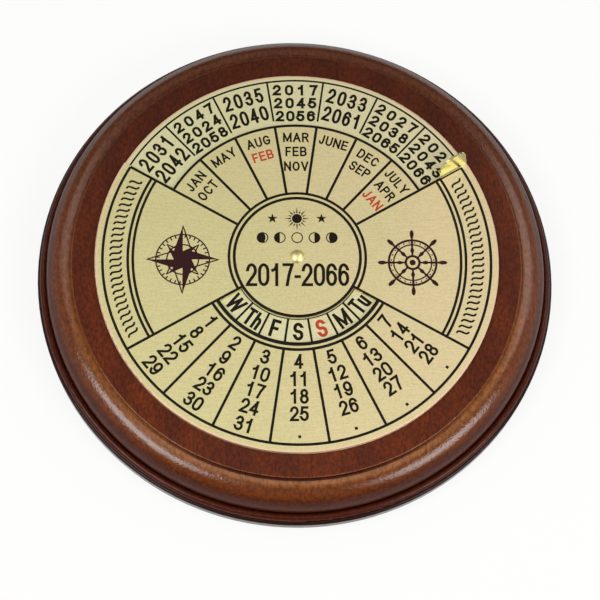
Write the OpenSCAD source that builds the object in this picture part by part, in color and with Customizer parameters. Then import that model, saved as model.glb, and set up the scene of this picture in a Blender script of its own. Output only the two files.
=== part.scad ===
// Perpetual desk calendar: two thin brass discs on a turned hardwood base.
// The front dial turns without stop on a domed rivet. Its open sector at the rim shows seven
// of the twenty-one year columns on the fixed disc under it, and its curved window near the
// middle shows seven of the twenty-one weekday cells. A tab bent up from the dial turns it.
// Millimetres. Origin at the centre of the underside, +Z up, +Y towards the open sector.

/* [Wooden base] */
// Largest diameter of the turned base, over its foot
base_d = 130; // [126:0.2:140]
// Thickness of the wood
base_h = 13.3; // [12.3:0.1:18]
// Diameter of the raised flat that carries the discs
table_d = 111.6; // [106:0.2:114]
// Height of the small step round the raised flat
table_step = 1.1; // [0.5:0.1:2]
// Rounding of the raised flat's edge
table_round = 0.15; // [0.1:0.05:0.4]
// Radius of the quarter-round moulding
ovolo_r = 6; // [4:0.1:6.2]
// How far the moulding's side stands in from the foot
side_inset = 2.5; // [1.5:0.1:4]
// Height of the groove above the bead
quirk_h = 0.7; // [0.2:0.05:0.9]
// Depth of that groove behind the moulding's side
quirk_depth = 0.5; // [0.3:0.1:1.5]
// Radius of the small bead
bead_r = 0.95; // [0.6:0.05:1.1]
// How far the bead stands in from the foot
bead_inset = 0.7; // [0.3:0.1:1.2]
// How far the bead is sunk into the foot
bead_seat = 0.2; // [0.1:0.05:0.5]
// Height of the foot under the bead
foot_h = 3.4; // [2:0.1:3.8]
// Rounding of the foot's edges
foot_round = 0.6; // [0.2:0.1:0.9]
// Diameter of the pocket for the clenched end of the rivet
pocket_d = 9; // [8:0.5:14]
// Depth of that pocket
pocket_depth = 2.2; // [1.8:0.1:4]

/* [Felt] */
// Thickness of the felt under the base
felt_t = 1; // [0.5:0.1:3]
// How far the felt stands in from the foot
felt_inset = 3.8; // [2:0.2:12]

/* [Year disc] */
// How far the fixed year disc's rim stands out past the front dial's
rim_overhang = 0; // [0:0.5:2]
// Sheet thickness of the year disc
year_disc_t = 0.5; // [0.4:0.1:1]
// Thickness of the double-sided tape that holds it down
tape_t = 0.15; // [0.1:0.05:0.5]
// Outer diameter of the tape ring
tape_d = 92; // [60:1:92]
// Width of the tape ring
tape_w = 30; // [8:1:32]

/* [Front dial] */
// Diameter of the turning front dial
dial_d = 100; // [94:0.5:104]
// Sheet thickness of the front dial
dial_t = 0.5; // [0.4:0.1:0.8]
// Rounding of both discs' upper rim
rim_round = 0.3; // [0.1:0.05:0.35]
// Year columns and weekday cells in a full turn, a whole number of weeks
columns = 21; // [14, 21, 28]
// Inner radius of the open sector
sector_in_r = 35.9; // [30:0.1:40]
// Inner radius of the weekday window
window_in_r = 15.9; // [13:0.1:18]
// Outer radius of the weekday window
window_out_r = 22.4; // [20:0.1:28]
// Metal left between a border line and a cut edge
edge_land = 0.35; // [0.2:0.05:1]

/* [Tab] */
// Radius at which the bent-up tab begins
tab_in_r = 42; // [38:0.5:44]
// How far the tab's outer end stands in from the dial's rim
tab_rim_inset = 0.3; // [0.3:0.1:3]
// Length of the tab above its bend
tab_l = 5.2; // [4:0.1:9]
// Rounding of the tab's corner nearer the middle of the dial
tab_inner_corner = 3.9; // [1:0.1:4]
// Rounding of the tab's corner at the rim
tab_outer_corner = 1.7; // [0.3:0.1:2]
// Where the bend begins, from the middle of the border line towards the opening
bend_start = 0; // [0:0.05:0.3]
// Inside radius of the tab's bend
bend_r = 0.2; // [0.2:0.05:1.5]
// How far the tab leans back from upright, in degrees
tab_lean = 15; // [0:1:40]

/* [Rivet] */
// Shank diameter of the pivot rivet
shank_d = 2; // [1.5:0.1:3]
// Radial running clearance of the dial on the shank
pivot_gap = 0.05; // [0.02:0.01:0.1]
// Clearance between the dial and the rivet head
head_gap = 0.05; // [0.03:0.01:0.2]
// Diameter of the domed head
head_d = 3.6; // [3.4:0.1:6]
// Height of the domed head
head_h = 0.9; // [0.5:0.1:1.6]
// Outer diameter of the spacer washer between the discs
spacer_d = 7; // [5:0.5:14]
// Thickness of the spacer washer
spacer_t = 0.2; // [0.1:0.05:0.5]
// Outer diameter of the burr, the washer that the rivet is clenched over
burr_d = 5.5; // [4.5:0.5:7]
// Thickness of the burr
burr_t = 0.6; // [0.4:0.1:1]
// Diameter of the clenched end
clench_d = 3; // [2.6:0.1:4]
// Height of the clenched end
clench_h = 0.5; // [0.3:0.1:0.8]

/* [Hidden] */

$fn = 180;
small_fn = 48;
week_days = 7;    // columns that the open sector and the window show

base_r = base_d / 2;
table_r = table_d / 2;
dial_r = dial_d / 2;
year_disc_r = dial_r + rim_overhang;
side_r = base_r - side_inset;
bead_x = base_r - bead_inset - bead_r;
bead_z = foot_h + bead_r - bead_seat;
quirk_top = bead_z + bead_r + quirk_h;
land_z = base_h - table_step;
ovolo_x = side_r - ovolo_r;
ovolo_z = land_z - ovolo_r;

wood_top = felt_t + base_h;
year_disc_z = wood_top + tape_t;
spacer_z = year_disc_z + year_disc_t;
dial_z = spacer_z + spacer_t;
dial_top = dial_z + dial_t;
head_z = dial_top + head_gap;
burr_z = year_disc_z - burr_t;
clench_z = burr_z - clench_h;

shown_angle = 360 * week_days / columns;
sector_start = 90 - shown_angle / 2;
bend_angle = 90 - tab_lean;
tab_w = dial_r - tab_rim_inset - tab_in_r;
most_inner = 0.6;    // a corner's largest share of the tab's width
most_outer = 0.3;
inner_corner_r = min(tab_inner_corner, most_inner * tab_w);
outer_corner_r = min(tab_outer_corner, most_outer * tab_w);
bend_steps = 12;
past = 1;    // how far a cutting shape runs past what it cuts

module at_height(z) {
    translate([0, 0, z]) children();
}

// Half section with its two outer corners rounded, for a revolve.
module rounded_step(radius, height, upper_round, lower_round) {
    square([radius - max(upper_round, lower_round), height]);
    translate([0, lower_round]) square([radius, height - upper_round - lower_round]);
    translate([radius - upper_round, height - upper_round])
        circle(upper_round, $fn = small_fn);
    translate([radius - lower_round, lower_round])
        circle(lower_round, $fn = small_fn);
}

// A flat disc of sheet metal whose upper rim is rounded over.
module sheet_disc(radius, thickness, bore_r) {
    rotate_extrude() difference() {
        union() {
            square([radius - rim_round, thickness]);
            square([radius, thickness - rim_round]);
            translate([radius - rim_round, thickness - rim_round])
                circle(rim_round, $fn = small_fn);
        }
        translate([-past, -past]) square([bore_r + past, thickness + 2 * past]);
        translate([-past, -past]) square([radius + 2 * past, past]);
    }
}

module washer(outer_d, bore_d, thickness) {
    difference() {
        cylinder(d = outer_d, h = thickness);
        at_height(-past) cylinder(d = bore_d, h = thickness + 2 * past);
    }
}

// Cutting shape for an opening between two radii, centred on one direction, with its
// straight edges moved in by edge_land from the border lines of the columns.
module annular_cut(inner_r, outer_r, direction) {
    half = shown_angle / 2;
    reach = 2 * outer_r;
    rotate(direction) linear_extrude(dial_t + 2 * past) intersection() {
        difference() {
            circle(outer_r);
            circle(inner_r);
        }
        translate([edge_land / sin(half), 0]) polygon([
            [0, 0],
            [reach * cos(half), -reach * sin(half)],
            [2 * reach, 0],
            [reach * cos(half), reach * sin(half)]
        ]);
    }
}

module base_section() {
    difference() {
        union() {
            difference() {
                square([side_r, ovolo_z]);
                translate([side_r - quirk_depth, -past])
                    square([quirk_depth + past, quirk_top + past]);
            }
            square([ovolo_x, land_z]);
            translate([ovolo_x, ovolo_z]) intersection() {
                circle(ovolo_r);
                square(ovolo_r + past);
            }
            square([table_r - table_round, base_h]);
            square([table_r, base_h - table_round]);
            translate([table_r - table_round, base_h - table_round])
                circle(table_round, $fn = small_fn);
            translate([bead_x, bead_z]) circle(bead_r, $fn = small_fn);
            rounded_step(base_r, foot_h, foot_round, foot_round);
        }
        translate([-past, base_h - pocket_depth])
            square([pocket_d / 2 + past, pocket_depth + past]);
    }
}

module wooden_base() {
    color("#5a2a1c") at_height(felt_t) rotate_extrude() base_section();
}

module base_felt() {
    color("#27402f") cylinder(r = base_r - felt_inset, h = felt_t);
}

module tape_ring() {
    color("#e8e2d0") at_height(wood_top) washer(tape_d, tape_d - 2 * tape_w, tape_t);
}

module year_disc() {
    color("#d8cc9b") at_height(year_disc_z) sheet_disc(year_disc_r, year_disc_t, shank_d / 2);
}

module spacer_washer() {
    color("#c9a44c") at_height(spacer_z) washer(spacer_d, shank_d, spacer_t);
}

module rivet_burr() {
    color("#c9a44c") at_height(burr_z) washer(burr_d, shank_d, burr_t);
}

function arc(centre, radius, from, to) = [
    for (i = [0:bend_steps])
        centre + radius * [cos(from + (to - from) * i / bend_steps),
                           sin(from + (to - from) * i / bend_steps)]
];

// Side view of the bent sheet: its root in the dial, the bend and the straight tab.
module tab_section() {
    centre = [0, dial_t + bend_r];
    rise = tab_l * [cos(bend_angle), sin(bend_angle)];
    outside = arc(centre, bend_r + dial_t, -90, bend_angle - 90);
    inside = arc(centre, bend_r, bend_angle - 90, -90);
    polygon(concat(
        [[-bend_start - edge_land, 0]],
        outside,
        [outside[bend_steps] + rise, inside[0] + rise],
        inside,
        [[-bend_start - edge_land, dial_t]]
    ));
}

// Front view of the tab: broadly rounded towards the middle of the dial, less so at the rim.
module tab_outline() {
    translate([0, -tab_l]) square([tab_w, 2 * tab_l - inner_corner_r]);
    translate([inner_corner_r, 0]) square([tab_w - inner_corner_r, tab_l - outer_corner_r]);
    translate([inner_corner_r, 0]) square([tab_w - inner_corner_r - outer_corner_r, tab_l]);
    translate([inner_corner_r, tab_l - inner_corner_r]) circle(inner_corner_r, $fn = small_fn);
    translate([tab_w - outer_corner_r, tab_l - outer_corner_r])
        circle(outer_corner_r, $fn = small_fn);
}

// The tab is one piece with the dial, bent up along the cut edge of the open sector.
module bent_tab() {
    rotate(sector_start) translate([tab_in_r, bend_start, 0]) intersection() {
        translate([-past, 0, 0]) rotate([90, 0, 90])
            linear_extrude(tab_w + 2 * past) tab_section();
        at_height(dial_t + bend_r) rotate([bend_angle, 0, 0])
            at_height(-tab_l) linear_extrude(2 * tab_l) tab_outline();
    }
}

module front_dial() {
    color("#ddd2a2") at_height(dial_z) union() {
        difference() {
            sheet_disc(dial_r, dial_t, shank_d / 2 + pivot_gap);
            at_height(-past) annular_cut(sector_in_r, dial_r + past, 90);
            at_height(-past) annular_cut(window_in_r, window_out_r, -90);
        }
        bent_tab();
    }
}

// Domed head, straight shank and the end spread over the burr, as one turned shape.
module rivet_section() {
    dome_r = (pow(head_d / 2, 2) + pow(head_h, 2)) / (2 * head_h);
    intersection() {
        translate([0, head_z + head_h - dome_r]) circle(dome_r);
        translate([0, head_z]) square([head_d / 2, head_h + past]);
    }
    translate([0, clench_z]) square([shank_d / 2, head_z - clench_z]);
    translate([0, clench_z]) polygon([
        [0, 0],
        [shank_d / 2, 0],
        [clench_d / 2, clench_h / 2],
        [clench_d / 2, clench_h],
        [0, clench_h]
    ]);
}

module pivot_rivet() {
    color("#d9b45a") rotate_extrude() rivet_section();
}

wooden_base();
base_felt();
tape_ring();
year_disc();
rivet_burr();
spacer_washer();
front_dial();
pivot_rivet();
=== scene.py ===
# Perpetual desk calendar: finish, printed markings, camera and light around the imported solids.
# Sizes are written in millimetres and become metres through mm; angles are in degrees,
# counted from +X, and +Y points at the middle of the open sector.
import bpy
import math
from mathutils import Matrix, Vector
from mathutils.geometry import delaunay_2d_cdt


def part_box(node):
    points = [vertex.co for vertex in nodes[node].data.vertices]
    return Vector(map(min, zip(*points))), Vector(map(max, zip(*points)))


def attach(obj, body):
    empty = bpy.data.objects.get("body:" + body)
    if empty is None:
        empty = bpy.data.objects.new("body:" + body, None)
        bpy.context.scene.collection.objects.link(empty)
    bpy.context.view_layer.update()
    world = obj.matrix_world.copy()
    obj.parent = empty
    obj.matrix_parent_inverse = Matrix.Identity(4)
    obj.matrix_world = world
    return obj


mm = 0.001

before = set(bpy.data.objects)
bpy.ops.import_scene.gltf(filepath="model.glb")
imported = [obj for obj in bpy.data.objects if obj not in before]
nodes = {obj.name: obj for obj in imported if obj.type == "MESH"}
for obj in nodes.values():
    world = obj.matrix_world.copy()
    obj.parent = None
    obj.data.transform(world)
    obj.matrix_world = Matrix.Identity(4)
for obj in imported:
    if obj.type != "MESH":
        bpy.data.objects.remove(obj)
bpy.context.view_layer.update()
print("frame loaded:", ", ".join(sorted(nodes)))

# Heights and radii read off the solids. The dial's height is read beside its hole, away from the
# tab, and the flat's edge is the rim of the wood's top.
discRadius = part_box("year_disc")[1].x / mm
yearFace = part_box("year_disc")[1].z / mm
dialFace = max(v.co.z for v in nodes["front_dial"].data.vertices if v.co.xy.length < 2 * mm) / mm
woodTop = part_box("wooden_base")[1].z / mm
tableRadius = max(v.co.xy.length for v in nodes["wooden_base"].data.vertices
                  if v.co.z > (woodTop - 0.5) * mm) / mm


# Shader and geometry nodes

def srgb(hexColour):
    channels = [int(hexColour[i:i + 2], 16) / 255 for i in (1, 3, 5)]
    linear = [c / 12.92 if c <= 0.04045 else ((c + 0.055) / 1.055) ** 2.4 for c in channels]
    return (*linear, 1.0)


def addNode(tree, kind, inputs=(), **settings):
    # Inputs come in the sockets' order, or by name or number. A socket is linked, a node is linked
    # from its first working output, and a hex colour is turned to linear.
    node = tree.nodes.new(kind)
    for name, value in settings.items():
        setattr(node, name, value)
    for key, value in (inputs if isinstance(inputs, dict) else dict(enumerate(inputs))).items():
        if isinstance(value, bpy.types.Node):
            value = next(output for output in value.outputs if output.enabled)
        if isinstance(value, bpy.types.NodeSocket):
            tree.links.new(value, node.inputs[key])
        else:
            node.inputs[key].default_value = srgb(value) if isinstance(value, str) else value
    return node


def newMaterial(name, makeShader, s):
    material = bpy.data.materials.new(name)
    material.use_nodes = True
    tree = material.node_tree
    tree.nodes.clear()
    addNode(tree, "ShaderNodeOutputMaterial", [makeShader(tree, s)])
    return material


def millimetres(tree):
    place = addNode(tree, "ShaderNodeTexCoord").outputs["Object"]
    return addNode(tree, "ShaderNodeVectorMath", {0: place, "Scale": 1 / mm}, operation="SCALE")


def measured(tree, place):
    # The X, Y and Z of a place, and its distance from the dial's axis.
    x, y, z = addNode(tree, "ShaderNodeSeparateXYZ", [place]).outputs
    flat = addNode(tree, "ShaderNodeCombineXYZ", [x, y])
    return x, y, z, addNode(tree, "ShaderNodeVectorMath", [flat], operation="LENGTH")


def pattern(tree, place, size, detail=2.0, roughness=0.5):
    # Noise whose features measure about size millimetres along X, Y and Z.
    stretched = addNode(tree, "ShaderNodeVectorMath", [place, tuple(1 / s for s in size)],
                        operation="MULTIPLY")
    return addNode(tree, "ShaderNodeTexNoise", {
        "Vector": stretched, "Scale": 1.0, "Detail": detail, "Roughness": roughness})


eased = {"interpolation_type": "SMOOTHSTEP"}    # a range that begins and ends gently


def overlay(tree, under, over, value, limits, share=1.0, how="MIX"):
    # Lays one colour over another: none of it at the value's first limit, a share at its second.
    amount = addNode(tree, "ShaderNodeMapRange", [value, *limits, 0.0, share], **eased)
    return addNode(tree, "ShaderNodeMix", {0: amount, 6: under, 7: over},
                   data_type="RGBA", blend_type=how)


hardwood = {
    "stain": "#6f2e0e",        # mahogany stain on the flat
    "stainDeep": "#491b09",    # denser grain takes more of it
    "stainThin": "#773b17",    # the turned shoulder, sanded through towards the wood
    "rubbedSheenTone": "#965720",  # and lighter still where it leaves the step: rubbed through, and a painted highlight
    "stepCornerShade": "#451403",    # painted shade in the step's corner
    "stainPool": "#521e0b",    # toner on the steep side and round the bead
    "footShadeTone": "#260d07",    # painted shade: the darkest tone, on the foot under the bead
    "cloud": (8.0, 20.0, 8.0),      # slow changes of tone along the grain
    "cloudEdge": (0.65, 0.35),
    "cloudShare": 0.55,
    "fleck": (0.8, 1.2, 0.8),       # fine mottling of a close-grained wood
    "fleckTone": "#8a8a8a",
    "fleckEdge": (0.35, 0.65),
    "fleckShare": 0.55,
    "pore": (0.30, 1.9, 0.30),      # open pores along Y, drawn about twice as wide as real ones
    "poreTone": "#1c0a07",
    "poreEdge": (0.56, 0.68),
    "poreShare": 0.45,
    "poreStrength": 0.08,
    "poreDepth": 0.05,         # how far the lacquer sinks over a pore
    "fade": (3.8, 2.0),        # depths under the top between which the toner fades out
    "foot": (9.5, 10.1),       # depths between which the foot's painted shade begins
    "footCoat": (10.2, 10.6),  # and between which its lacquer is full again
    "wallFrom": (0.15, 0.25),  # depths between which the corner's painted shade begins
    "wallTo": (0.65, 0.4),     # distances from the step's edge between which it ends
    "wallFront": (-34.0, -56.0),    # and Y between which it grows, at the front
    "rubbedSheenIn": (-0.4, 0.1),   # distances from the step's edge between which the rubbed band with its painted highlight begins
    "rubbedSheenOut": (2.9, 1.2),   # and between which it ends
    "rubbedSheenFront": (30.0, -50.0),   # and Y between which it grows, towards the front, where the painted highlight lies
    "shadeToBack": (-20.0, 60.0),    # painted shade: the board darkens between these Y, towards the back
    "shadeToBackTone": "#d0d0d0",
    "roughness": 0.55,
    "bareGloss": 0.05,         # the wood itself hardly shines under its coat
    "sideCoat": 0.35,          # the steep side caught less of the lacquer
    "coatRoughness": 0.15,
    "peel": (0.45, 0.8, 0.45),      # the lacquer's orange peel
    "peelFrom": (0.0, 1.0),         # distances from the step's edge between which it grows
    "peelStrength": (0.3, 1.2),     # on the flat, and on the turned shoulder
}


def lacqueredHardwood(tree, s):
    # Close-grained hardwood, turned, stained mahogany and sprayed with gloss lacquer, whose
    # reflections break up over the open pores.
    place = millimetres(tree)
    _, y, height, radius = measured(tree, place)
    depth = addNode(tree, "ShaderNodeMath", [woodTop, height], operation="SUBTRACT")
    past = addNode(tree, "ShaderNodeMath", [radius, tableRadius], operation="SUBTRACT")
    clouds = pattern(tree, place, s["cloud"], 3.0)
    flecks = pattern(tree, place, s["fleck"], 3.0, 0.6)
    grain = pattern(tree, place, s["pore"])
    pores = addNode(tree, "ShaderNodeMapRange", [grain, *s["poreEdge"]], **eased)
    flat = overlay(tree, s["stain"], s["stainDeep"], clouds, s["cloudEdge"], s["cloudShare"])
    # Painted shade on the foot, tucked under the bead; the steep side and bead above it are stained
    # darker.
    side = overlay(tree, s["stainPool"], s["footShadeTone"], depth, s["foot"])
    turned = overlay(tree, side, s["stainThin"], depth, s["fade"])
    # Rubbed-through wear and a painted highlight: the shoulder is lighter and more golden by the
    # step, towards the front.
    front = addNode(tree, "ShaderNodeMapRange", [y, *s["rubbedSheenFront"]], **eased)
    shoulder = overlay(tree, turned, s["rubbedSheenTone"], past, s["rubbedSheenOut"], front)
    whole = overlay(tree, flat, shoulder, past, s["rubbedSheenIn"])
    # Painted shade: the step's corner is darkened, at the front only.
    cornerShadeFront = addNode(tree, "ShaderNodeMapRange", [y, *s["wallFront"]], **eased)
    corner = addNode(tree, "ShaderNodeMapRange", [past, *s["wallTo"], 0.0, cornerShadeFront], **eased)
    stepped = overlay(tree, whole, s["stepCornerShade"], depth, s["wallFrom"], corner)
    # Painted shade: the far side of the wood is darkened, as if it caught less light.
    shaded = overlay(tree, stepped, s["shadeToBackTone"], y, s["shadeToBack"], how="MULTIPLY")
    flecked = overlay(tree, shaded, s["fleckTone"], flecks, s["fleckEdge"], s["fleckShare"],
                      "MULTIPLY")
    colour = overlay(tree, flecked, s["poreTone"], pores, (0.0, 1.0), s["poreShare"])
    sunk = addNode(tree, "ShaderNodeBump", {
        "Height": pores, "Strength": s["poreStrength"], "Distance": s["poreDepth"] * mm}, invert=True)
    peeled = addNode(tree, "ShaderNodeMapRange", [past, *s["peelFrom"], *s["peelStrength"]], **eased)
    rippled = addNode(tree, "ShaderNodeBump", {
        "Height": pattern(tree, place, s["peel"], 2.0, 0.6), "Strength": peeled,
        "Distance": s["poreDepth"] * mm, "Normal": sunk})
    coated = addNode(tree, "ShaderNodeMapRange", [depth, *s["fade"], s["sideCoat"], 1.0], **eased)
    footCoated = addNode(tree, "ShaderNodeMapRange", [depth, *s["footCoat"]], **eased)
    lacquer = addNode(tree, "ShaderNodeMath", [coated, footCoated], operation="ADD", use_clamp=True)
    return addNode(tree, "ShaderNodeBsdfPrincipled", {
        "Base Color": colour, "Roughness": s["roughness"], "Specular IOR Level": s["bareGloss"],
        "Coat Weight": lacquer, "Coat Roughness": s["coatRoughness"], "Coat IOR": 1.5,
        "Coat Normal": rippled})


dialBrass = {
    "cool": "#e9e1ad",          # pale lacquered brass, the greener patches to the left
    "warm": "#f2e3b7",          # and the warmer ones to the right
    # the rim's cut edge, lighter and warmer, with a painted highlight
    "rim": "#f2dab6",
    "raised": "#eef1b4",        # the tab, polished by handling, its brighter yellow partly a painted reflection of the brass it faces
    "tarnish": (16.0, 16.0, 16.0),
    "drift": 60.0,              # how far along X the patches move that change
    "warmFrom": (0.0, 75.0),    # and where it begins and ends, half of that drift added
    "brushing": (5.0, 0.24, 5.0),    # brush lines along X, drawn twice as coarse as a real finish
    "brushTone": "#d8d8d8",
    "brushEdge": (0.3, 0.7),
    "brushShare": 0.2,
    "brushStrength": 0.12,
    "brushDepth": 0.01,
    "grit": (0.5, 0.5, 0.5),
    "gritTone": "#dddddd",
    "gritEdge": (0.4, 0.7),
    "gritShare": 0.25,
    "rimWidth": 0.9,
    "bend": (0.1, 0.5),         # heights over the dial's face between which the tab begins
    "roughness": (0.6, 0.7),
    "satinEdge": (0.25, 0.75),
    "raisedRoughness": 0.24,
}
discBrass = dict(dialBrass, cool="#f0edc2", warm="#f3eac4", brushing=(0.24, 5.0, 5.0))


def brushedBrass(tree, s):
    # Half-hard brass sheet, satin brushed in one direction and clear lacquered: a pale, soft
    # yellow with short fine lines, and brighter, warmer metal at the rim: partly its cut edge, partly
    # a painted highlight along its rounding.
    place = millimetres(tree)
    x, _, height, radius = measured(tree, place)
    drift = addNode(tree, "ShaderNodeMath", [pattern(tree, place, s["tarnish"]), s["drift"], x],
                    operation="MULTIPLY_ADD")
    brushing = pattern(tree, place, s["brushing"], 2.0, 0.7)
    grit = pattern(tree, place, s["grit"], 1.0)
    rim = (discRadius - s["rimWidth"], discRadius - s["rimWidth"] / 2)
    bend = [dialFace + over for over in s["bend"]]
    sheet = overlay(tree, s["cool"], s["warm"], drift, s["warmFrom"])
    lined = overlay(tree, sheet, s["brushTone"], brushing, s["brushEdge"], s["brushShare"],
                    "MULTIPLY")
    gritty = overlay(tree, lined, s["gritTone"], grit, s["gritEdge"], s["gritShare"], "MULTIPLY")
    # Partly painted highlight: the rim is lighter and warmer where its rounding catches the light.
    edged = overlay(tree, gritty, s["rim"], radius, rim)
    satin = addNode(tree, "ShaderNodeMapRange", [brushing, *s["satinEdge"], *s["roughness"]],
                    **eased)
    rubbed = addNode(tree, "ShaderNodeMapRange", [height, *bend, satin, s["raisedRoughness"]],
                     **eased)
    lines = addNode(tree, "ShaderNodeBump", {
        "Height": brushing, "Strength": s["brushStrength"], "Distance": s["brushDepth"] * mm})
    # The tab's colour is partly a painted reflection of the brass; its lower roughness is its real
    # polish.
    return addNode(tree, "ShaderNodeBsdfPrincipled", {
        "Base Color": overlay(tree, edged, s["raised"], height, bend), "Metallic": 1.0,
        "Roughness": rubbed, "Normal": lines})


rivetPolish = {
    "colour": "#fff3b4",
    "worn": "#f6e7a4",
    "handling": (1.4, 1.4, 1.4),
    "marks": (0.4, 0.65),
    "roughness": (0.44, 0.54),
}


def polishedBrass(tree, s):
    # Turned and headed brass rivet wire, polished bright by tumbling, with faint handling marks.
    handling = pattern(tree, millimetres(tree), s["handling"], 3.0)
    marks = addNode(tree, "ShaderNodeMapRange", [handling, *s["marks"]], **eased)
    roughness = addNode(tree, "ShaderNodeMapRange", [marks, 0.0, 1.0, *s["roughness"]], **eased)
    return addNode(tree, "ShaderNodeBsdfPrincipled", {
        "Base Color": overlay(tree, s["colour"], s["worn"], handling, s["marks"]),
        "Metallic": 1.0, "Roughness": roughness})


ink = {
    # The black is tinted warm, partly a painted reflection of the brass around it.
    "colours": {"Black": "#150e01", "Red": "#bb4429", "Maroon": "#330f13"},
    "thin": "#b0a890",
    "patch": (0.6, 0.6, 0.6),
    "patchEdge": (0.35, 0.7),
    "patchShare": 0.3,
    "roughness": (0.45, 0.6),
    "gloss": 0.2,
}


def printedInk(tree, s):
    # Screen-printed enamel ink, baked on: a low gloss film, a little uneven where the mesh pressed.
    mesh = pattern(tree, millimetres(tree), s["patch"])
    patches = addNode(tree, "ShaderNodeMapRange", [mesh, *s["patchEdge"]], **eased)
    roughness = addNode(tree, "ShaderNodeMapRange", [patches, 0.0, 1.0, *s["roughness"]], **eased)
    colour = overlay(tree, s["colour"], s["thin"], mesh, s["patchEdge"], s["patchShare"], "MULTIPLY")
    return addNode(tree, "ShaderNodeBsdfPrincipled", {
        "Base Color": colour, "Roughness": roughness, "Specular IOR Level": s["gloss"]})


felt = {
    "colour": "#24402e",
    "fibre": "#3a5a44",
    "strand": (0.35, 0.35, 0.35),
    "strandEdge": (0.35, 0.65),
    "napStrength": 0.6,
    "napDepth": 0.15,
    "roughness": 0.95,
    "sheen": 0.4,
}


def woolFelt(tree, s):
    # Pressed wool felt, needled and dyed: matt, with a light nap of crossing fibres.
    strands = pattern(tree, millimetres(tree), s["strand"], 5.0, 0.7)
    nap = addNode(tree, "ShaderNodeBump", {
        "Height": strands, "Strength": s["napStrength"], "Distance": s["napDepth"] * mm})
    return addNode(tree, "ShaderNodeBsdfPrincipled", {
        "Base Color": overlay(tree, s["colour"], s["fibre"], strands, s["strandEdge"]),
        "Roughness": s["roughness"], "Sheen Weight": s["sheen"], "Normal": nap})


tape = {
    "colour": "#e6dfca",
    "fibre": "#cfc6ac",
    "strand": (2.0, 0.3, 0.3),
    "strandEdge": (0.3, 0.7),
    "roughness": (0.35, 0.5),
}


def tissueTape(tree, s):
    # Double-sided tissue tape: pale paper with long fibres under a film of glue.
    strands = pattern(tree, millimetres(tree), s["strand"], 3.0)
    paper = addNode(tree, "ShaderNodeMix", {0: strands, 6: s["colour"], 7: s["fibre"]},
                    data_type="RGBA")
    glue = addNode(tree, "ShaderNodeMapRange", [strands, *s["strandEdge"], *s["roughness"]], **eased)
    return addNode(tree, "ShaderNodeBsdfPrincipled", {"Base Color": paper, "Roughness": glue})


blackInk, redInk, maroonInk = (newMaterial(f"baked{name}Ink", printedInk, dict(ink, colour=colour))
                               for name, colour in ink["colours"].items())
rivetBrass = newMaterial("polishedBrassRivet", polishedBrass, rivetPolish)
finishes = {
    "wooden_base": newMaterial("stainedLacqueredHardwood", lacqueredHardwood, hardwood),
    "base_felt": newMaterial("pressedWoolFelt", woolFelt, felt),
    "tape_ring": newMaterial("doubleSidedTissueTape", tissueTape, tape),
    "year_disc": newMaterial("brushedBrassYearDisc", brushedBrass, discBrass),
    "front_dial": newMaterial("brushedBrassDial", brushedBrass, dialBrass),
    "rivet_burr": rivetBrass,
    "spacer_washer": rivetBrass,
    "pivot_rivet": rivetBrass,
}
for node, finish in finishes.items():
    for slot in nodes[node].material_slots:
        slot.material = finish
print("materials made:", len(bpy.data.materials))


# Flat shapes: a shape is (points, faces) in the plane, and becomes a thin solid of ink

printing = {
    "film": 0.03,       # how far the ink stands up
    "seat": 0.02,       # how far it is let into the sheet, so that no two faces coincide
    "ruleDrop": 0.004,  # straight rules end a hair lower than the circles that they meet
    "grid": 3,          # decimals kept of every corner, so that strokes share their corners
    "tolerance": 1e-5,
    "mitre": 0.6,       # the sharpest corner that is mitred, as the cosine of half its turn
    "arcSteps": 0.6,    # straight steps in each degree of an arc
    "arcLeast": 12,
}


def polar(radius, angle, centre=(0.0, 0.0)):
    turn = math.radians(angle)
    return centre[0] + radius * math.cos(turn), centre[1] + radius * math.sin(turn)


def bow(centreX, centreY, radiusX, radiusY, start, end, steps=8):
    turns = [math.radians(start + (end - start) * i / steps) for i in range(steps + 1)]
    return [(centreX + radiusX * math.cos(a), centreY + radiusY * math.sin(a)) for a in turns]


def strokeQuads(points, width, cap=False):
    # A line of the given width along the points, as one quad for each step. Gentle corners are
    # mitred. Sharp corners and, with cap, open ends run on by half a width and are cut level.
    closed = points[0] == points[-1]
    line = [Vector(p) for p in (points[:-1] if closed else points)]
    count = len(line)
    steps = count if closed else count - 1
    ahead = [(line[(i + 1) % count] - line[i]).normalized() for i in range(steps)]

    def corner(place, along, other, outward):
        # The two sides of one end of a step; other is the neighbouring step's direction.
        point, half = line[place % count], 0.5 * width
        side = Vector((-along.y, along.x))
        if other is not None:
            middle = (along + other).normalized()
            mitre = Vector((-middle.y, middle.x))
            if mitre.dot(side) > printing["mitre"]:
                mitre *= half / mitre.dot(side)
                return point - mitre, point + mitre
        elif not cap:
            return point - half * side, point + half * side
        steep = abs(along.y) > 0.5
        end = point + outward * along * (half / abs(along.y) if steep else half)
        if steep:
            side = Vector((-1.0 if along.y > 0 else 1.0, 0.0)) / abs(along.y)
        return end - half * side, end + half * side

    quads = []
    for i, along in enumerate(ahead):
        before = ahead[i - 1] if closed or i > 0 else None
        after = ahead[(i + 1) % steps] if closed or i < steps - 1 else None
        startRight, startLeft = corner(i, along, before, -1)
        endRight, endLeft = corner(i + 1, along, after, 1)
        quads.append([startRight, endRight, endLeft, startLeft])
    return quads


def inside(point, polygon):
    crossings = 0
    for start, end in zip(polygon, polygon[1:] + polygon[:1]):
        if (start.y > point.y) != (end.y > point.y):
            share = (point.y - start.y) / (end.y - start.y)
            crossings += point.x < start.x + share * (end.x - start.x)
    return crossings % 2 == 1


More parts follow.
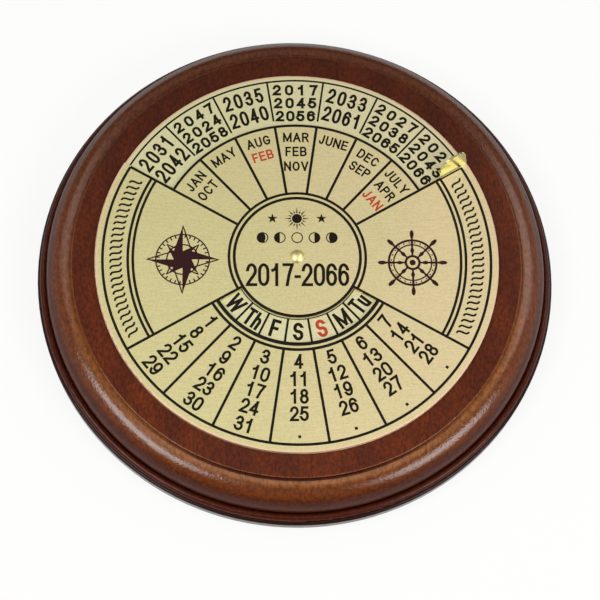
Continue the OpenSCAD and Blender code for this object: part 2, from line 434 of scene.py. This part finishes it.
def merged(polygons):
    # One flat shape, in triangles, from polygons that may overlap.
    polygons = [[Vector(round(c, printing["grid"]) for c in p) for p in polygon]
                for polygon in polygons]
    points, outlines = [], []
    for polygon in polygons:
        outlines.append(list(range(len(points), len(points) + len(polygon))))
        points += polygon
    flat, _, cells, _, _, _ = delaunay_2d_cdt(points, [], outlines, 0, printing["tolerance"])
    middles = [sum((flat[i] for i in cell), Vector((0, 0))) / len(cell) for cell in cells]
    return flat, [cell for cell, middle in zip(cells, middles)
                  if any(inside(middle, polygon) for polygon in polygons)]


def regularPolygon(centre, radius, sides=24):
    return bow(*centre, radius, radius, 0, 360, sides)[:-1]


def placed(shape, x, y, turn=0.0):
    points, faces = shape
    move = Matrix.Translation((x, y, 0)) @ Matrix.Rotation(math.radians(turn), 4, "Z")
    return [(move @ p.to_3d()).to_2d() for p in points], faces


def addObject(name, data):
    thing = bpy.data.objects.new(name, data)
    bpy.context.scene.collection.objects.link(thing)
    return thing


def printPiece(name, shapes, face, material, body):
    # Gives each flat shape a top, a bottom and walls, and joins them in one closed mesh.
    low, high = (face - printing["seat"]) * mm, (face + printing["film"]) * mm
    points, faces = [], []
    for flat, cells in shapes:
        count, first = len(flat), len(points)
        points += [(p.x * mm, p.y * mm, z) for z in (low, high) for p in flat]
        edges = {(cell[i - 1], cell[i]) for cell in cells for i in range(len(cell))}
        rims = [(a, b) for a, b in edges if (b, a) not in edges]
        faces += [[first + count + i for i in cell] for cell in cells]
        faces += [[first + i for i in reversed(cell)] for cell in cells]
        faces += [[first + a, first + b, first + count + b, first + count + a] for a, b in rims]
    mesh = bpy.data.meshes.new(name)
    mesh.from_pydata(points, [], faces)
    mesh.materials.append(material)
    mesh.validate()
    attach(addObject(name, mesh), body)


# Lettering: each character is (width, strokes) in a box one high, and a width of 1 is a figure's

glyphs = {
    "0": (1.0, [bow(.5, .68, .5, .32, 0, 180) + bow(.5, .32, .5, .32, 180, 360) + [(1.0, .68)]]),
    "1": (1.0, [[(.6, 0), (.6, 1)], [(.12, .72), (.35, .76), (.52, .86), (.6, 1)]]),
    "2": (1.0, [bow(.5, .7, .47, .3, 172, -18) + [(.7, .43), (.16, .13), (.02, 0), (1, 0)]]),
    "3": (1.0, [bow(.47, .755, .42, .245, 165, -82), bow(.47, .265, .5, .265, 86, -165),
                [(.3, .52), (.55, .52)]]),
    "4": (1.0, [[(.72, 0), (.72, 1), (0, .27), (1, .27)]]),
    "5": (1.0, [[(.9, 1), (.17, 1), (.06, .52)] + bow(.47, .33, .5, .33, 142, -160)]),
    "6": (1.0, [bow(.5, .32, .48, .32, 0, 360, 14), [(.02, .32), (.02, .62)]
                + bow(.52, .66, .48, .34, 180, 22)]),
    "7": (1.0, [[(.02, 1), (1, 1), (.62, .5), (.4, 0)]]),
    "8": (1.0, [bow(.5, .765, .41, .235, 0, 360, 12), bow(.5, .27, .49, .27, 0, 360, 14)]),
    "9": (1.0, [bow(.5, .68, .48, .32, 0, 360, 14), [(.98, .68), (.98, .38)]
                + bow(.48, .34, .48, .34, 0, -158)]),
    "-": (0.55, [[(0, .4), (1, .4)]]),
    "A": (1.15, [[(0, 0), (.5, 1), (1, 0)], [(.18, .33), (.82, .33)]]),
    "B": (1.0, [[(0, .5), (.55, .5)] + bow(.6, .75, .34, .25, -90, 90) + [(0, 1), (0, 0)]
                + bow(.6, .25, .4, .25, -90, 90) + [(.5, .5)]]),
    "C": (1.05, [bow(.52, .5, .5, .5, 38, 322, 12)]),
    "D": (1.05, [[(0, 0), (0, 1), (.4, 1)] + bow(.45, .5, .55, .5, 90, -90, 10) + [(0, 0)]]),
    "E": (.92, [[(1, 1), (0, 1), (0, 0), (1, 0)], [(0, .52), (.88, .52)]]),
    "F": (.86, [[(1, 1), (0, 1), (0, 0)], [(0, .5), (.85, .5)]]),
    "G": (1.1, [bow(.52, .5, .5, .5, 42, 350, 12) + [(.98, .45), (.56, .45)]]),
    "J": (.8, [[(.9, 1), (.9, .25)] + bow(.46, .25, .44, .25, 0, -170)]),
    "L": (.85, [[(0, 1), (0, 0), (1, 0)]]),
    "M": (1.3, [[(0, 0), (0, 1), (.5, .08), (1, 1), (1, 0)]]),
    "N": (1.05, [[(0, 0), (0, 1), (1, 0), (1, 1)]]),
    "O": (1.1, [bow(.5, .5, .5, .5, 0, 360, 18)]),
    "P": (.98, [[(0, 0), (0, 1), (.55, 1)] + bow(.6, .75, .4, .25, 90, -90) + [(0, .5)]]),
    "R": (1.02, [[(0, 0), (0, 1), (.55, 1)] + bow(.6, .76, .37, .24, 90, -90) + [(0, .52)],
                 [(.55, .52), (.98, 0)]]),
    "S": (1.0, [bow(.5, .75, .45, .25, 25, 180) + bow(.5, .73, .45, .23, 180, 245, 3)
                + bow(.5, .27, .48, .24, 70, 0, 3) + bow(.5, .27, .48, .27, 0, -165)]),
    "T": (1.0, [[(0, 1), (1, 1)], [(.5, 1), (.5, 0)]]),
    "U": (1.0, [[(0, 1), (0, .3)] + bow(.5, .3, .5, .3, 180, 360) + [(1, 1)]]),
    "V": (1.1, [[(0, 1), (.5, 0), (1, 1)]]),
    "W": (1.5, [[(0, 1), (.24, 0), (.5, .95), (.76, 0), (1, 1)]]),
    "Y": (1.1, [[(0, 1), (.5, .45), (1, 1)], [(.5, .45), (.5, 0)]]),
    "h": (.85, [[(0, 1), (0, 0)], [(0, .45)] + bow(.5, .45, .5, .22, 160, 0) + [(1, 0)]]),
    "u": (.85, [[(0, .68), (0, .25)] + bow(.5, .25, .5, .25, 180, 340) + [(1, .25)],
                [(1, .68), (1, 0)]]),
}
glyphShapes = {}


def glyphShape(character, style):
    key = (character, style["height"], style["figure"], style["stroke"])
    if key not in glyphShapes:
        share, strokes = glyphs[character]
        wide = share * style["figure"] - style["stroke"]
        tall = style["height"] - style["stroke"]
        quads = []
        for stroke in strokes:
            # Rounded, so that a closed stroke ends where it began.
            line = [((round(x, 4) - .5) * wide, (round(y, 4) - .5) * tall) for x, y in stroke]
            quads += strokeQuads(line, style["stroke"], True)
        glyphShapes[key] = merged(quads)
    return glyphShapes[key]


def setLine(text, style, radius, angle, outward, rowWidth=None):
    # A straight line of characters, centred on a point of the dial, with their tops turned
    # outward or towards the middle. A rowWidth spaces them out to that width.
    widths = [glyphs[c][0] * style["figure"] for c in text]
    gap = style["gap"]
    if rowWidth:
        gap = (rowWidth - sum(widths)) / (len(text) - 1)
    total = sum(widths) + gap * (len(text) - 1)
    turn = angle - 90 if outward else angle + 90
    along, middle = Vector(polar(1, turn)), Vector(polar(radius, angle))
    shapes, start = [], -total / 2
    for character, width in zip(text, widths):
        spot = middle + along * (start + width / 2)
        shapes.append(placed(glyphShape(character, style), spot.x, spot.y, turn))
        start += width + gap
    return shapes


# Geometry Nodes trees for the rules, circles and borders

# Inputs that aren't lengths: their kinds, and those in degrees.
kinds = {"Count": "Int", "Segments": "Int", "Whole": "Bool", "Material": "Material"}
angles = ("First angle", "Step angle", "Start angle", "Sweep")


def newTree(name, *labels):
    # A tree with these named inputs, after the ones that every rule has.
    tree = bpy.data.node_groups.new(name, "GeometryNodeTree")
    for label in ("Line width", "Thickness", "Height", "Material", *labels):
        tree.interface.new_socket(label, in_out="INPUT",
                                  socket_type="NodeSocket" + kinds.get(label, "Float"))
    tree.interface.new_socket("Geometry", in_out="OUTPUT", socket_type="NodeSocketGeometry")
    return tree, tree.nodes.new("NodeGroupInput").outputs


def closeTree(tree, source, geometry):
    real = addNode(tree, "GeometryNodeRealizeInstances", [geometry])
    painted = addNode(tree, "GeometryNodeSetMaterial", {
        "Geometry": real, "Material": source["Material"]})
    addNode(tree, "NodeGroupOutput", [painted])
    return tree


def flatRule(tree, source, curve):
    # A flat rule of Line width and Thickness along a curve that lies level at the origin.
    level = addNode(tree, "GeometryNodeSetCurveNormal", [curve], mode="Z_UP")
    section = addNode(tree, "GeometryNodeCurvePrimitiveQuadrilateral", [
        source["Line width"], source["Thickness"]])
    rule = addNode(tree, "GeometryNodeCurveToMesh", {
        "Curve": level, "Profile Curve": section, "Fill Caps": True})
    lift = addNode(tree, "ShaderNodeCombineXYZ", {"Z": source["Height"]})
    return addNode(tree, "GeometryNodeTransform", {"Geometry": rule, "Translation": lift})


def turnedCopies(tree, source, shape):
    # Copies of a shape round the dial's centre, from First angle on, Step angle apart.
    index = addNode(tree, "GeometryNodeInputIndex")
    degrees = addNode(tree, "ShaderNodeMath", [index, source["Step angle"], source["First angle"]],
                      operation="MULTIPLY_ADD")
    radians = addNode(tree, "ShaderNodeMath", [degrees], operation="RADIANS")
    euler = addNode(tree, "ShaderNodeCombineXYZ", {"Z": radians})
    turn = addNode(tree, "FunctionNodeEulerToRotation", [euler])
    points = addNode(tree, "GeometryNodePoints", [source["Count"]])
    return addNode(tree, "GeometryNodeInstanceOnPoints", {
        "Points": points, "Instance": shape, "Rotation": turn})


def radialRulesTree():
    # Straight rules along the radius, Count of them.
    tree, source = newTree("radialRules", "Count", "First angle", "Step angle", "Inner radius",
                           "Outer radius")
    ends = [addNode(tree, "ShaderNodeCombineXYZ", [source[label]])
            for label in ("Inner radius", "Outer radius")]
    line = addNode(tree, "GeometryNodeCurvePrimitiveLine", ends)
    crisp = addNode(tree, "GeometryNodeSetShadeSmooth", {
        "Geometry": flatRule(tree, source, line), "Shade Smooth": False})
    return closeTree(tree, source, turnedCopies(tree, source, crisp))


def arcRuleTree():
    # A rule along a whole circle, or along an arc of it where Whole is off.
    tree, source = newTree("arcRule", "Whole", "Radius", "Start angle", "Sweep", "Segments")
    size = {"Resolution": source["Segments"], "Radius": source["Radius"]}
    start, sweep = (addNode(tree, "ShaderNodeMath", [source[label]], operation="RADIANS")
                    for label in ("Start angle", "Sweep"))
    arc = addNode(tree, "GeometryNodeCurveArc", {
        **size, "Start Angle": start, "Sweep Angle": sweep})
    circle = addNode(tree, "GeometryNodeCurvePrimitiveCircle", size)
    either = addNode(tree, "GeometryNodeSwitch", [source["Whole"], arc, circle],
                     input_type="GEOMETRY")
    return closeTree(tree, source, flatRule(tree, source, either))


def ropeTree():
    # A laid rope drawn as a row of S-shaped strands, each bent over the next.
    tree, source = newTree("ropeBorder", "Count", "First angle", "Step angle", "Radius",
                           "Rope width", "Lay", "Segments")
    half, back = (addNode(tree, "ShaderNodeMath", [source[label], factor], operation="MULTIPLY")
                  for label, factor in (("Rope width", 0.5), ("Lay", -1.0)))
    inner, outer = (addNode(tree, "ShaderNodeMath", [source["Radius"], half], operation=way)
                    for way in ("SUBTRACT", "ADD"))
    corners = ((inner, back), (inner, source["Lay"]), (outer, back), (outer, source["Lay"]))
    strand = addNode(tree, "GeometryNodeCurvePrimitiveBezierSegment", [
        source["Segments"], *(addNode(tree, "ShaderNodeCombineXYZ", corner) for corner in corners)])
    return closeTree(tree, source, turnedCopies(tree, source, flatRule(tree, source, strand)))


trees = {"rules": radialRulesTree(), "arc": arcRuleTree(), "rope": ropeTree()}


def grown(tree, values):
    # Runs a tree once and returns its result as a plain mesh; lengths are given in millimetres.
    carrier = addObject("carrier", bpy.data.meshes.new("carrier"))
    modifier = carrier.modifiers.new("grow", "NODES")
    modifier.node_group = tree
    inputs = {item.name: item for item in tree.interface.items_tree if item.in_out == "INPUT"}
    for label, value in values.items():
        isLength = label not in kinds and label not in angles
        modifier[inputs[label].identifier] = value * mm if isLength else value
    depsgraph = bpy.context.evaluated_depsgraph_get()
    mesh = bpy.data.meshes.new_from_object(carrier.evaluated_get(depsgraph), depsgraph=depsgraph)
    bpy.data.objects.remove(carrier)
    return mesh


def joinMeshes(name, meshes, body):
    parts = [addObject(name, mesh) for mesh in meshes]
    with bpy.context.temp_override(active_object=parts[0], selected_editable_objects=parts):
        bpy.ops.object.join()
    parts[0].name = name
    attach(parts[0], body)


def ruleValues(face, width, drop=0.0):
    thickness = printing["film"] + printing["seat"] - drop
    return {"Line width": width, "Thickness": thickness, "Material": blackInk,
            "Height": face - printing["seat"] + thickness / 2}


def circleMesh(face, radius, width, start=0.0, sweep=360.0):
    return grown(trees["arc"], {
        **ruleValues(face, width), "Whole": sweep >= 360, "Radius": radius,
        "Start angle": start, "Sweep": sweep,
        "Segments": max(printing["arcLeast"], round(sweep * printing["arcSteps"]))})


def raysMesh(face, inner, outer, width, count, first, step):
    return grown(trees["rules"], {
        **ruleValues(face, width, printing["ruleDrop"]), "Count": count,
        "First angle": first, "Step angle": step, "Inner radius": inner, "Outer radius": outer})


# Layout that both discs share

layout = {
    "columns": 21,          # year columns and weekday cells in a full turn
    "shown": 7,             # columns that the sector, and cells that the window, show
    "border": discRadius - 2.0,
    "ruleWidth": 0.66,
}
step = 360 / layout["columns"]
shown = step * layout["shown"]
sectorRight = 90 - shown / 2
sectorLeft = 90 + shown / 2
windowLeft = 270 - shown / 2
windowRight = shown / 2 - 90
panel = 180 - shown     # each side band between the sector and the dates


def columnAngle(i):
    # Middle of a year or month column, counted clockwise from the sector's left edge.
    return sectorLeft - step * (i + 0.5)


def cellAngle(i):
    # Middle of a date column or weekday cell, counted anticlockwise from the window's left edge.
    return windowLeft + step * (i + 0.5)


# Year disc

yearPrint = {
    "outerLine": 48.5,
    "outerWidth": 0.46,
    "columnInner": 37.4,
    "columnWidth": 0.48,
    "threeRows": {
        "style": {"height": 2.98, "figure": 2.14, "stroke": 0.64, "gap": 1.0},
        "rows": [(45.8, 11.5), (42.15, 10.85), (38.5, 10.0)],    # radius and width of each row
    },
    "twoRows": {
        "style": {"height": 4.18, "figure": 2.1, "stroke": 0.67, "gap": 1.0},
        "rows": [(45.0, 10.4), (39.9, 9.9)],
    },
}
# Years by column, clockwise from the sector's left edge at rest. Each year stands in a column
# whose place, counted in sevens, goes with the weekday of its first of March.
yearColumns = [
    "2031 2042", "2047 2024 2058", "2035 2040", "2017 2045 2056", "2033 2061",
    "2027 2038 2065", "2026 2043 2066",
    "2025 2036 2059", "2019 2041", "2018 2029 2057", "2023 2034", "2022 2050",
    "2021 2032 2049", "2020 2048",
    "2053 2064", "2030 2052", "2046 2063", "2028 2051 2062", "2039 2044", "2055 2060",
    "2037 2054",
]


def yearFigures(s):
    shapes = []
    for i, years in enumerate(yearColumns):
        block = s["threeRows"] if len(years.split()) == 3 else s["twoRows"]
        for year, (radius, rowWidth) in zip(years.split(), block["rows"]):
            shapes += setLine(year, block["style"], radius, columnAngle(i), True, rowWidth)
    printPiece("year_figures", shapes, yearFace, blackInk, "base")


def yearRules(s):
    joinMeshes("year_rules", [
        circleMesh(yearFace, s["outerLine"], s["outerWidth"]),
        raysMesh(yearFace, s["columnInner"], s["outerLine"], s["columnWidth"],
                 layout["columns"], sectorRight, step),
    ], "base")


weekdayPrint = {
    "letters": ["W", "Th", "F", "S", "Sun", "M", "Tu"],    # as the cells are counted
    "style": {"height": 4.6, "figure": 2.6, "stroke": 0.8, "gap": 0.22},
    "pairStyle": {"height": 4.6, "figure": 2.2, "stroke": 0.74, "gap": 0.2},
    "wideStyle": {"height": 4.6, "figure": 2.55, "stroke": 0.72, "gap": 0.2},
    "middle": 19.35,
    "innerLine": 16.2,
    "innerWidth": 0.26,
    "outerLine": 23.4,
    "outerWidth": 0.3,
    "cellWidth": 0.54,
}


def weekdayRing(s):
    black, red = [], []
    for i in range(layout["columns"]):
        day = s["letters"][i % layout["shown"]]
        style = s["pairStyle"] if day in ("Th", "Tu") else s["style"]
        if day in ("W", "M"):
            style = s["wideStyle"]
        letters = setLine(day.replace("Sun", "S"), style, s["middle"], cellAngle(i), False)
        (red if day == "Sun" else black).extend(letters)
    printPiece("weekday_letters", black, yearFace, blackInk, "base")
    printPiece("sunday_letters", red, yearFace, redInk, "base")
    joinMeshes("weekday_rules", [
        circleMesh(yearFace, s["innerLine"], s["innerWidth"]),
        circleMesh(yearFace, s["outerLine"], s["outerWidth"]),
        raysMesh(yearFace, s["innerLine"], s["outerLine"], s["cellWidth"],
                 layout["columns"], windowLeft, step),
    ], "base")


yearFigures(yearPrint)
yearRules(yearPrint)
weekdayRing(weekdayPrint)
print("year disc printed")


# Front dial

dialRulesPrint = {
    "centreLine": 15.6,
    "centreWidth": 0.72,
    "ringLine": 16.9,           # second circle round the centre, left open over the window
    "monthLine": 35.5,
    "panelLines": (40.56, 41.8),
    "windowLines": ((22.8, 0.9), (24.2, 0.72)),    # radius and width
    "dot": 0.7,
    "dotRadius": 46.05,
    "firstDotColumn": 3,        # the first date column with no fifth week
}


def dialRules(s):
    width, border = layout["ruleWidth"], layout["border"]
    arcs = [
        (border, width, sectorLeft, 360 - shown),
        (s["centreLine"], s["centreWidth"], 0, 360),
        (s["ringLine"], width, windowRight, 360 - shown),
        (s["monthLine"], width, sectorRight, shown),
        *((*line, windowLeft, shown) for line in s["windowLines"]),
    ]
    for radius in s["panelLines"]:
        arcs += [(radius, width, sectorLeft, panel), (radius, width, windowRight, panel)]
    meshes = [circleMesh(dialFace, radius, wide, start, sweep) for radius, wide, start, sweep in arcs]
    inner = layout["shown"] - 1
    meshes += [
        raysMesh(dialFace, s["ringLine"], s["monthLine"], width, inner, sectorRight + step, step),
        raysMesh(dialFace, s["ringLine"], border, width, 2, sectorRight, shown),
        raysMesh(dialFace, s["windowLines"][1][0], border, width, inner, windowLeft + step, step),
        raysMesh(dialFace, s["centreLine"], border, width, 2, windowLeft, shown),
        raysMesh(dialFace, s["dotRadius"] - s["dot"] / 2, s["dotRadius"] + s["dot"] / 2, s["dot"],
                 layout["shown"] - s["firstDotColumn"], cellAngle(s["firstDotColumn"]), step),
    ]
    joinMeshes("dial_rules", meshes, "dial")


monthPrint = {
    "style": {"height": 2.6, "figure": 1.68, "stroke": 0.45, "gap": 0.34},
    "rows": [32.25, 28.35, 24.3],
    "columns": ["JAN OCT", "MAY", "AUG feb", "MAR FEB NOV", "JUNE", "DEC SEP", "JULY APR jan"],
}


def monthNames(s):
    # Months in small letters are those of leap years, printed red.
    black, red = [], []
    for i, names in enumerate(s["columns"]):
        for name, radius in zip(names.split(), s["rows"]):
            letters = setLine(name.upper(), s["style"], radius, columnAngle(i), True)
            (red if name.islower() else black).extend(letters)
    printPiece("month_names", black, dialFace, blackInk, "dial")
    printPiece("leap_month_names", red, dialFace, redInk, "dial")


datePrint = {
    "style": {"height": 3.75, "figure": 2.2, "stroke": 0.62, "gap": 0.22},
    "rows": [27.2, 31.6, 36.0, 40.35, 44.95],
    "days": 31,
}


def dateFigures(s):
    shapes = []
    for day in range(s["days"]):
        week, column = divmod(day, layout["shown"])
        shapes += setLine(str(day + 1), s["style"], s["rows"][week], cellAngle(column), False)
    printPiece("date_figures", shapes, dialFace, blackInk, "dial")


spanPrint = {
    "text": "2017-2066",
    "style": {"height": 6.0, "figure": 2.8, "stroke": 0.76, "gap": 0.25},
    "middle": 4.8,    # below the rivet
    "width": 25.5,
}


def spanFigures(s):
    shapes = setLine(s["text"], s["style"], s["middle"], 270, False, s["width"])
    printPiece("span_figures", shapes, dialFace, blackInk, "dial")


dialRules(dialRulesPrint)
monthNames(monthPrint)
dateFigures(datePrint)
spanFigures(spanPrint)
print("dial printed")


# Ornaments: rope borders in the side bands, a sun over a row of moons, a rose and a wheel

ropePrint = {
    "radius": 44.8,
    "ropeWidth": 2.7,
    "lay": 0.8,
    "strandStep": 2.1,
    "strandSegments": 10,
    "line": 0.5,
    "margin": 3.2,
}


def ropeBorders(s):
    count = int((panel - 2 * s["margin"]) / s["strandStep"]) + 1
    first = (panel - s["strandStep"] * (count - 1)) / 2
    sides = [grown(trees["rope"], {
        **ruleValues(dialFace, s["line"]), "Count": count, "First angle": start + first,
        "Step angle": s["strandStep"], "Radius": s["radius"], "Rope width": s["ropeWidth"],
        "Lay": s["lay"], "Segments": s["strandSegments"]})
        for start in (sectorLeft, windowRight)]
    joinMeshes("rope_borders", sides, "dial")


skyPrint = {
    "sun": (0.0, 10.1),
    "sunDisc": 1.25,
    "rays": 16,
    "rayFoot": 1.55,
    "longRay": 3.1,
    "shortRay": 2.4,
    "starX": 6.1,
    "star": 1.35,
    "starWaist": 0.54,
    "starPoints": 5,
    "moonY": 5.0,
    "moon": 1.45,
    "moonStep": 4.3,
    # Places in the row, and how much is bright: from -1, all dark, to 1, all bright.
    "phases": [(-2, -0.55), (-1, 0.0), (0, 1), (1, 0.0), (2, -0.55)],
    "line": 0.26,
}


def moonPolygons(radius, lit, line):
    # A moon round the origin, whose dark part, on the left, is inked.
    inner = radius - line / 2
    outline = strokeQuads(bow(0, 0, inner, inner, 0, 360, 28), line)
    edge = bow(0, 0, inner, inner, 90, 270, 14)
    terminator = bow(0, 0, inner * lit, inner, 270, 90, 14)
    return outline if abs(lit) == 1 else outline + [edge + terminator[1:-1]]


def skyPattern(s):
    x, y = s["sun"]
    polygons = [regularPolygon(s["sun"], s["sunDisc"])]
    rayStep = 360 / s["rays"]
    for i in range(s["rays"]):
        angle = 90 + rayStep * i
        corners = ((s["rayFoot"], angle - rayStep / 3),
                   (s["shortRay"] if i % 2 else s["longRay"], angle),
                   (s["rayFoot"], angle + rayStep / 3))
        polygons.append([polar(reach, turn, s["sun"]) for reach, turn in corners])
    for side in (-1, 1):
        polygons.append([polar(s["starWaist"] if i % 2 else s["star"],
                               90 + 180 * i / s["starPoints"], (x + side * s["starX"], y))
                         for i in range(2 * s["starPoints"])])
    for place, lit in s["phases"]:
        flip = 1 if place <= 0 else -1    # moons to the right of the full one are mirrored
        for polygon in moonPolygons(s["moon"], lit, s["line"]):
            polygons.append([(place * s["moonStep"] + flip * px, s["moonY"] + py)
                             for px, py in polygon[::flip]])
    printPiece("sun_and_moons", [merged(polygons)], dialFace, blackInk, "dial")


rosePrint = {
    "centre": (-28.3, -0.8),
    "points": ((0, 8.9, 3.1), (45, 5.6, 2.17)),    # first angle, reach and waist of each four
    "rings": (3.9, 6.6),
    "ringSides": 64,
    "ticks": 32,
    "tick": 0.9,
    "line": 0.32,
}


def rosePoint(reach, waist, angle, line):
    # One point of the rose: its left half inked, its right half in outline.
    turn = Matrix.Rotation(math.radians(angle - 90), 2)
    side = waist * math.sqrt(0.5)
    inked = [(0, 0), (0, reach), (-side, side)]
    drawn = strokeQuads([(side, side), (0, reach)], line)
    return [[turn @ Vector(p) for p in polygon] for polygon in [inked] + drawn]


def compassRose(s):
    polygons = []
    for quarter in range(4):
        for first, reach, waist in s["points"]:
            polygons += rosePoint(reach, waist, 90 * quarter + first, s["line"])
    for radius in s["rings"]:
        polygons += strokeQuads(bow(0, 0, radius, radius, 0, 360, s["ringSides"]), s["line"])
    for i in range(s["ticks"]):
        ends = [polar(radius, 360 * (i + 0.5) / s["ticks"])
                for radius in (s["rings"][1] - s["tick"], s["rings"][1])]
        polygons += strokeQuads(ends, s["line"])
    printPiece("compass_rose", [placed(merged(polygons), *s["centre"])], dialFace, maroonInk, "dial")


wheelPrint = {
    "centre": (28.5, -1.6),
    "spokes": 8,
    # A spoke is a turned spindle: half widths at distances from the hub's middle.
    "spindle": [(1.5, 0.28), (2.4, 0.22), (3.2, 0.5), (4.0, 0.22), (4.7, 0.3), (5.9, 0.3),
                (6.3, 0.22), (7.4, 0.52), (8.2, 0.42), (8.6, 0.16)],
    "rings": ((5.9, 0.55), (4.7, 0.34), (1.7, 0.6)),    # radius and line of rim and hub
    "ringSides": 64,
    "studs": 24,
    "studCircle": 5.3,
    "stud": 0.2,
    "boss": 0.75,
}


def shipsWheel(s):
    polygons = []
    outline = s["spindle"] + [(reach, -width) for reach, width in reversed(s["spindle"])]
    for i in range(s["spokes"]):
        turn = Matrix.Rotation(2 * math.pi * i / s["spokes"], 2)
        polygons.append([turn @ Vector((reach, -width)) for reach, width in outline])
    for radius, line in s["rings"]:
        polygons += strokeQuads(bow(0, 0, radius, radius, 0, 360, s["ringSides"]), line)
    for i in range(s["studs"]):
        polygons.append(regularPolygon(polar(s["studCircle"], 360 * (i + 0.5) / s["studs"]),
                                       s["stud"], 8))
    polygons.append(regularPolygon((0, 0), s["boss"]))
    printPiece("ships_wheel", [placed(merged(polygons), *s["centre"])], dialFace, maroonInk, "dial")


ropeBorders(ropePrint)
skyPattern(skyPrint)
compassRose(rosePrint)
shipsWheel(wheelPrint)
print("ornaments printed")


# Camera, light and floor

view = {
    "position": (-16.28, -161.44, 436.4),
    "target": (0.49, -11.43, 15.69),
    "roll": 6.0,
    "sensor": 36.0,
    "lens": 109.5,    # for a square 600 pixel frame
    "clip": (10, 20000),
}


def addCamera(s):
    data = bpy.data.cameras.new("camera")
    data.sensor_width = s["sensor"]
    data.lens = s["lens"]
    data.clip_start, data.clip_end = (distance * mm for distance in s["clip"])
    camera = addObject("camera", data)
    position, target = Vector(s["position"]) * mm, Vector(s["target"]) * mm
    back = (position - target).normalized()
    right = Vector((0, 0, 1)).cross(back).normalized()
    level = Matrix((right, back.cross(right), back)).transposed().to_4x4()
    camera.matrix_world = (Matrix.Translation(position) @ level
                           @ Matrix.Rotation(math.radians(s["roll"]), 4, "Z"))
    bpy.context.scene.camera = camera


# Softboxes by direction from the object, as its moulding mirrors them.
softboxes = {
    "leftFront": {"azimuth": -150, "height": 52, "wide": 320, "tall": 220, "power": 1.7},
    "rightFront": {"azimuth": -38, "height": 40, "wide": 306, "tall": 240, "power": 1.6},
    "right": {"azimuth": 29, "height": 48, "wide": 300, "tall": 300, "power": 0.6},
    "left": {"azimuth": 141, "height": 49, "wide": 260, "tall": 280, "power": 0.3},
    "behind": {"azimuth": 88, "height": 34, "wide": 900, "tall": 260, "power": 0.2},
    "overhead": {"azimuth": -90, "height": 88, "wide": 400, "tall": 150, "power": 0.25},
}
softboxDistance = 600
softboxColour = (1.0, 0.98, 0.95)


def addSoftbox(name, s):
    data = bpy.data.lights.new(name, "AREA")
    data.shape = "RECTANGLE"
    data.size = s["wide"] * mm
    data.size_y = s["tall"] * mm
    data.energy = s["power"]
    data.color = softboxColour
    light = addObject(name, data)
    level, rise = polar(1, s["height"])
    toward = Vector((*polar(level, s["azimuth"]), rise))
    light.location = toward * softboxDistance * mm
    light.rotation_mode = "QUATERNION"
    light.rotation_quaternion = toward.to_track_quat("Z", "Y")


room = {
    "ceiling": 0.12,
    "ceilingFrom": 0.9,    # heights here and below are those of a direction one long
    "walls": 0.04,
    "wallTop": 0.35,
    "sideWalls": 0.45,
    "sideFrom": 0.6,
    "sideTo": 0.95,
    "open": 0.95,
    "ground": -0.02,
}


def addRoom(s):
    # A pale ceiling and pale walls to the left and right. The walls before and behind the object
    # are dim, so that the lacquer's steep sides stay dark there. The backdrop is white where it is
    # seen past the table, and so is the ground, which lights the felt for a look from below.
    world = bpy.data.worlds.new("room")
    world.use_nodes = True
    tree = world.node_tree
    tree.nodes.clear()
    direction = addNode(tree, "ShaderNodeTexCoord").outputs["Generated"]
    x, _, z = addNode(tree, "ShaderNodeSeparateXYZ", [direction]).outputs
    across = addNode(tree, "ShaderNodeMath", [x], operation="ABSOLUTE")
    wall = addNode(tree, "ShaderNodeMapRange", [
        across, s["sideFrom"], s["sideTo"], s["walls"], s["sideWalls"]], **eased)
    level = addNode(tree, "ShaderNodeMapRange", [
        z, s["wallTop"], s["ceilingFrom"], wall, s["ceiling"]], **eased)
    seen = addNode(tree, "ShaderNodeLightPath").outputs["Is Camera Ray"]
    below = addNode(tree, "ShaderNodeMath", [z, s["ground"]], operation="LESS_THAN")
    white = addNode(tree, "ShaderNodeMath", [seen, below], operation="MAXIMUM")
    strength = addNode(tree, "ShaderNodeMix", {0: white, 2: level, 3: s["open"]})
    background = addNode(tree, "ShaderNodeBackground", ["#ffffff", strength])
    addNode(tree, "ShaderNodeOutputWorld", [background])
    bpy.context.scene.world = world


table = {
    "radius": 4000,
    "underFelt": 0.05,
    "sides": 96,
    "colour": "#f6f5f3",
    "seenShare": 0.85,
    "mirroredShare": 0.3,
}


def whiteTable(tree, s):
    # Seen directly or mirrored it is mostly backdrop white, with its shadow left in.
    rays = addNode(tree, "ShaderNodeLightPath").outputs
    seen = addNode(tree, "ShaderNodeMath", [rays["Is Camera Ray"], s["seenShare"]],
                   operation="MULTIPLY")
    mirrored = addNode(tree, "ShaderNodeMath", [rays["Is Glossy Ray"], rays["Is Transmission Ray"]],
                       operation="MAXIMUM")
    share = addNode(tree, "ShaderNodeMath", [mirrored, s["mirroredShare"], seen],
                    operation="MULTIPLY_ADD")
    matt = addNode(tree, "ShaderNodeBsdfDiffuse", [s["colour"]])
    white = addNode(tree, "ShaderNodeEmission", ["#ffffff", 1.0])
    return addNode(tree, "ShaderNodeMixShader", [share, matt, white])


def addTable(s):
    # Open under the felt, which just covers the opening, so that the underside can be seen.
    mesh = bpy.data.meshes.new("table_top")
    sides = s["sides"]
    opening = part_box("base_felt")[1].x / mm - s["underFelt"]
    points = [(x * radius * mm, y * radius * mm, 0) for radius in (opening, s["radius"])
              for x, y in regularPolygon((0, 0), 1, sides)]
    mesh.from_pydata(points, [], [[i, sides + i, sides + (i + 1) % sides, (i + 1) % sides]
                                  for i in range(sides)])
    mesh.materials.append(newMaterial("whiteTable", whiteTable, s))
    addObject("table_top", mesh)


addCamera(view)
for name, box in softboxes.items():
    addSoftbox(name, box)
addRoom(room)
addTable(table)
bpy.context.scene.view_settings.view_transform = "Standard"
print("camera, light and table set")
